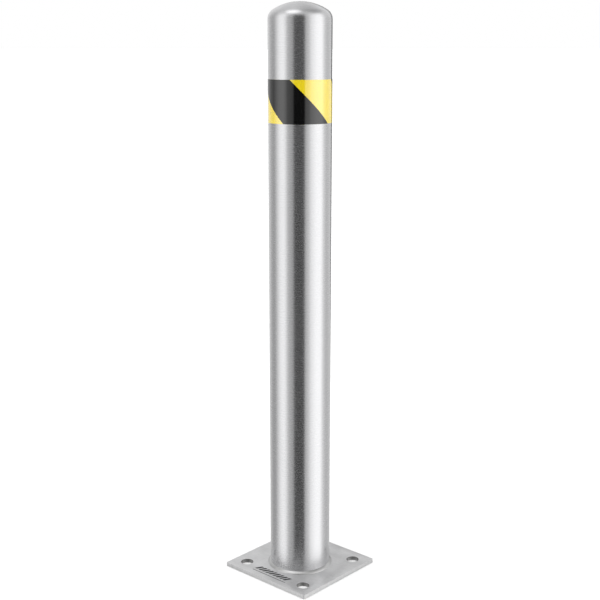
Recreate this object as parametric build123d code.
"""Surface-mounted stainless steel safety bollard, 42 in tall, in millimetres.

A round post stands on a square base plate with four anchor holes. A pressed dome closes its top.
The post is fillet welded to the plate, and the dome is butt welded to the post and ground flush.
A hazard tape with slanting black stripes is wrapped round the post below the dome.

+Z is up. The origin is the centre of the plate's underside. The front is -Y.
"""

from build123d import *
import os
from math import cos, degrees, radians, sin, sqrt, tan

# ---- post and dome ----
OVERALL_HEIGHT = 1066.8  # floor to the top of the dome
POST_DIAMETER = 114.3
POST_WALL = 3.05
DOME_WALL = 3.05
DOME_CROWN_RADIUS = 88.9  # outside radius of the shallow crown
DOME_KNUCKLE_RADIUS = 19.05  # outside radius of the turn into the skirt
DOME_SKIRT = 12.7  # straight rim of the pressed dome, down to the middle of its weld

# ---- butt weld between post and dome ----
ROOT_GAP = 1.6
ROOT_LAND = 1.0  # square part of each weld edge, at the inside wall
WELD_BEVEL = 37.5  # degrees, on each edge
ROOT_BEAD_HEIGHT = 0.9  # weld metal standing proud inside the post
ROOT_BEAD_LAP = 1.2  # weld metal lying on the inside wall, above and below the gap

# ---- base plate ----
PLATE_SIDE = 203.2
PLATE_THICKNESS = 7.94
PLATE_CORNER_RADIUS = 1.6
PLATE_EDGE_BREAK = 0.4
ANCHOR_HOLE_DIAMETER = 23.8
ANCHOR_HOLE_SPACING = 146.05  # centre to centre, both ways

# ---- fillet weld between post and plate ----
FILLET_LEG = 4.8
FILLET_CROWN = 0.35  # how far the weld's face bulges past flat

# ---- hazard tape ----
TAPE_WIDTH = 76.2
TAPE_TOP_BELOW_DOME_TOP = 133.35
TAPE_THICKNESS = 0.35
TAPE_OVERLAP = 8.0  # how far the end laps over the start
TAPE_SEAM_ANGLE = 194.3  # degrees round from +X to where the tape starts, at the back
INK_THICKNESS = 0.08
STRIPE_COUNT = 2
STRIPE_RUN = 88.9  # length of a black stripe, and of the yellow after it, along the tape
STRIPE_SLANT = 45.0  # degrees between a stripe's edge and the tape's edge
STRIPE_START_ANGLE = -78.5  # degrees round from +X to where the first stripe starts, at its foot

# ---- sizes that follow from the ones above ----
POST_RADIUS = POST_DIAMETER / 2
POST_INSIDE_RADIUS = POST_RADIUS - POST_WALL
CROWN_CENTRE_Z = OVERALL_HEIGHT - DOME_CROWN_RADIUS
KNUCKLE_CENTRE_R = POST_RADIUS - DOME_KNUCKLE_RADIUS
ARC_CENTRES_APART = DOME_CROWN_RADIUS - DOME_KNUCKLE_RADIUS
TANGENT_Z = CROWN_CENTRE_Z + sqrt(ARC_CENTRES_APART**2 - KNUCKLE_CENTRE_R**2)
JOINT_Z = TANGENT_Z - DOME_SKIRT
TAPE_TOP_Z = OVERALL_HEIGHT - TAPE_TOP_BELOW_DOME_TOP
TAPE_BOTTOM_Z = TAPE_TOP_Z - TAPE_WIDTH
TAPE_RADIUS = POST_RADIUS + TAPE_THICKNESS
INK_RADIUS = TAPE_RADIUS + INK_THICKNESS


def degrees_round_tape(run):
    """The turn, in degrees, that covers this length on the tape's face."""
    return degrees(run / TAPE_RADIUS)


def turned(profile, angle=360.0):
    """A closed outline in the XZ plane, given as its edges, turned about Z."""
    face = make_face(profile)
    return revolve(face, axis=Axis.Z, revolution_arc=angle)


def outline(*points):
    """A closed outline of straight lines through (radius, height) points."""
    corners = [Vector(r, 0, z) for r, z in points]
    return Polyline(*corners, close=True).edges()


def weld_edge(wall, side):
    """The bevelled edge at the joint, as (depth from the outside, height) points, inside first.

    side is -1 for the post, below the joint, and +1 for the dome, above it.
    """
    land_z = JOINT_Z + side * ROOT_GAP / 2
    rim_z = land_z + side * (wall - ROOT_LAND) * tan(radians(WELD_BEVEL))
    return [(wall, land_z), (wall - ROOT_LAND, land_z), (0, rim_z)]


def ring(inside, outside, low, high):
    """A round band about Z."""
    return turned(outline((inside, low), (outside, low), (outside, high), (inside, high)))


def make_base_plate():
    """Square plate with rounded corners, broken edges and four anchor holes."""
    blank = extrude(RectangleRounded(PLATE_SIDE, PLATE_SIDE, PLATE_CORNER_RADIUS), PLATE_THICKNESS)
    rims = blank.faces().filter_by(Axis.Z).edges()
    blank = chamfer(rims, PLATE_EDGE_BREAK)
    places = GridLocations(ANCHOR_HOLE_SPACING, ANCHOR_HOLE_SPACING, 2, 2)
    standing = (Align.CENTER, Align.CENTER, Align.MIN)
    return blank - places * Cylinder(ANCHOR_HOLE_DIAMETER / 2, PLATE_THICKNESS, align=standing)


def make_base_weld():
    """Fillet weld in the corner between the post and the plate, with a slightly bulging face."""
    corner = Vector(POST_RADIUS, 0, PLATE_THICKNESS)
    toe = corner + Vector(FILLET_LEG, 0, 0)
    top = corner + Vector(0, 0, FILLET_LEG)
    bulge = (toe + top) / 2 + Vector(1, 0, 1).normalized() * FILLET_CROWN
    face = ThreePointArc(toe, bulge, top)
    return turned([Line(corner, toe), face, Line(top, corner)])


def make_post_tube():
    """Tube that stands on the plate, with its top edge bevelled for the dome's weld."""
    land, land_end, rim = weld_edge(POST_WALL, -1)
    return turned(
        outline(
            (POST_INSIDE_RADIUS, PLATE_THICKNESS),
            (POST_RADIUS, PLATE_THICKNESS),
            (POST_RADIUS - rim[0], rim[1]),
            (POST_RADIUS - land_end[0], land_end[1]),
            (POST_RADIUS - land[0], land[1]),
        )
    )


def dome_arcs(inset):
    """Knuckle and crown arcs of the dome, moved in from its outside by inset, from skirt to axis."""
    crown = DOME_CROWN_RADIUS - inset
    knuckle = DOME_KNUCKLE_RADIUS - inset
    knuckle_centre = Vector(KNUCKLE_CENTRE_R, 0, TANGENT_Z)
    crown_centre = Vector(0, 0, CROWN_CENTRE_Z)
    towards_meeting = (knuckle_centre - crown_centre).normalized()
    meeting = crown_centre + towards_meeting * crown
    half_turn = (Vector(1, 0, 0) + towards_meeting).normalized()
    half_crown = (Vector(0, 0, 1) + towards_meeting).normalized()
    skirt_top = knuckle_centre + Vector(knuckle, 0, 0)
    crown_top = crown_centre + Vector(0, 0, crown)
    return [
        ThreePointArc(skirt_top, knuckle_centre + half_turn * knuckle, meeting),
        ThreePointArc(meeting, crown_centre + half_crown * crown, crown_top),
    ]


def make_dome_cap():
    """Pressed dome of one wall thickness: shallow crown, rounded knuckle and straight skirt."""
    outside = dome_arcs(0)
    inside = dome_arcs(DOME_WALL)
    land, land_end, rim = weld_edge(DOME_WALL, +1)
    skirt_outside = Vector(POST_RADIUS - rim[0], 0, rim[1])
    skirt_middle = Vector(POST_RADIUS - land_end[0], 0, land_end[1])
    skirt_inside = Vector(POST_RADIUS - land[0], 0, land[1])
    return turned(
        [
            Line(skirt_outside, outside[0] @ 0),
            *outside,
            Line(outside[1] @ 1, inside[1] @ 1),
            *inside,
            Line(inside[0] @ 0, skirt_inside),
            Line(skirt_inside, skirt_middle),
            Line(skirt_middle, skirt_outside),
        ]
    )


def make_cap_weld():
    """Weld metal that fills the groove between post and dome, flush outside and proud inside."""
    post_side = [Vector(POST_RADIUS - d, 0, z) for d, z in weld_edge(POST_WALL, -1)]
    dome_side = [Vector(POST_RADIUS - d, 0, z) for d, z in weld_edge(DOME_WALL, +1)]
    low = post_side[0] - Vector(0, 0, ROOT_BEAD_LAP)
    high = dome_side[0] + Vector(0, 0, ROOT_BEAD_LAP)
    crest = (low + high) / 2 - Vector(ROOT_BEAD_HEIGHT, 0, 0)
    return turned(
        [
            ThreePointArc(low, crest, high),
            Line(high, dome_side[0]),
            Line(dome_side[0], dome_side[1]),
            Line(dome_side[1], dome_side[2]),
            Line(dome_side[2], post_side[2]),
            Line(post_side[2], post_side[1]),
            Line(post_side[1], post_side[0]),
            Line(post_side[0], low),
        ]
    )


def make_tape_lap(inside, outside):
    """The tape's last stretch, which lies on top of its start."""
    lap = turned(
        outline(
            (inside, TAPE_BOTTOM_Z),
            (outside, TAPE_BOTTOM_Z),
            (outside, TAPE_TOP_Z),
            (inside, TAPE_TOP_Z),
        ),
        degrees_round_tape(TAPE_OVERLAP),
    )
    return Rot(0, 0, TAPE_SEAM_ANGLE) * lap


def make_tape_film():
    """Yellow reflective film, once round the post, with its end lapped over its start."""
    wrap = ring(POST_RADIUS, TAPE_RADIUS, TAPE_BOTTOM_Z, TAPE_TOP_Z)
    return wrap + make_tape_lap(TAPE_RADIUS, TAPE_RADIUS + TAPE_THICKNESS)


def flat_sector(inside, outside, height, angle):
    """A flat slice of a round band, from +X round by angle in degrees."""
    half, whole = radians(angle / 2), radians(angle)

    def place(radius, turn):
        return Vector(radius * cos(turn), radius * sin(turn), height)

    edges = [
        Line(place(inside, 0), place(outside, 0)),
        ThreePointArc(place(outside, 0), place(outside, half), place(outside, whole)),
        Line(place(outside, whole), place(inside, whole)),
        ThreePointArc(place(inside, whole), place(inside, half), place(inside, 0)),
    ]
    return make_face(edges).face()


def make_tape_stripes():
    """Black ink on the film: slanting stripes, each running round the post as it rises."""
    ink = ring(TAPE_RADIUS, INK_RADIUS, TAPE_BOTTOM_Z, TAPE_TOP_Z)
    ink -= make_tape_lap(TAPE_RADIUS, INK_RADIUS)
    margin = POST_WALL  # the cutter stands past the ink on every side
    width = degrees_round_tape(STRIPE_RUN)
    lean = degrees_round_tape((TAPE_WIDTH + 2 * margin) / tan(radians(STRIPE_SLANT)))
    early = degrees_round_tape(margin / tan(radians(STRIPE_SLANT)))
    sector = flat_sector(TAPE_RADIUS - margin, INK_RADIUS + margin, TAPE_BOTTOM_Z - margin, width)
    cutter = Solid.extrude_linear_with_rotation(
        sector, (0, 0, TAPE_BOTTOM_Z - margin), (0, 0, TAPE_WIDTH + 2 * margin), -lean
    )
    stripes = []
    for k in range(STRIPE_COUNT):
        start = STRIPE_START_ANGLE + early + k * 2 * width
        stripes += (ink & (Rot(0, 0, start) * cutter)).solids()
    return Compound(stripes)


PARTS = {
    "base_plate": make_base_plate,
    "base_weld": make_base_weld,
    "post_tube": make_post_tube,
    "cap_weld": make_cap_weld,
    "dome_cap": make_dome_cap,
    "tape_film": make_tape_film,
    "tape_stripes": make_tape_stripes,
}

os.makedirs("parts", exist_ok=True)
for name, make in PARTS.items():
    shape = make()
    shape.label = name
    export_step(shape, f"parts/{name}.step")
    print(name, round(sum(s.volume for s in shape.solids()), 1), "mm3")
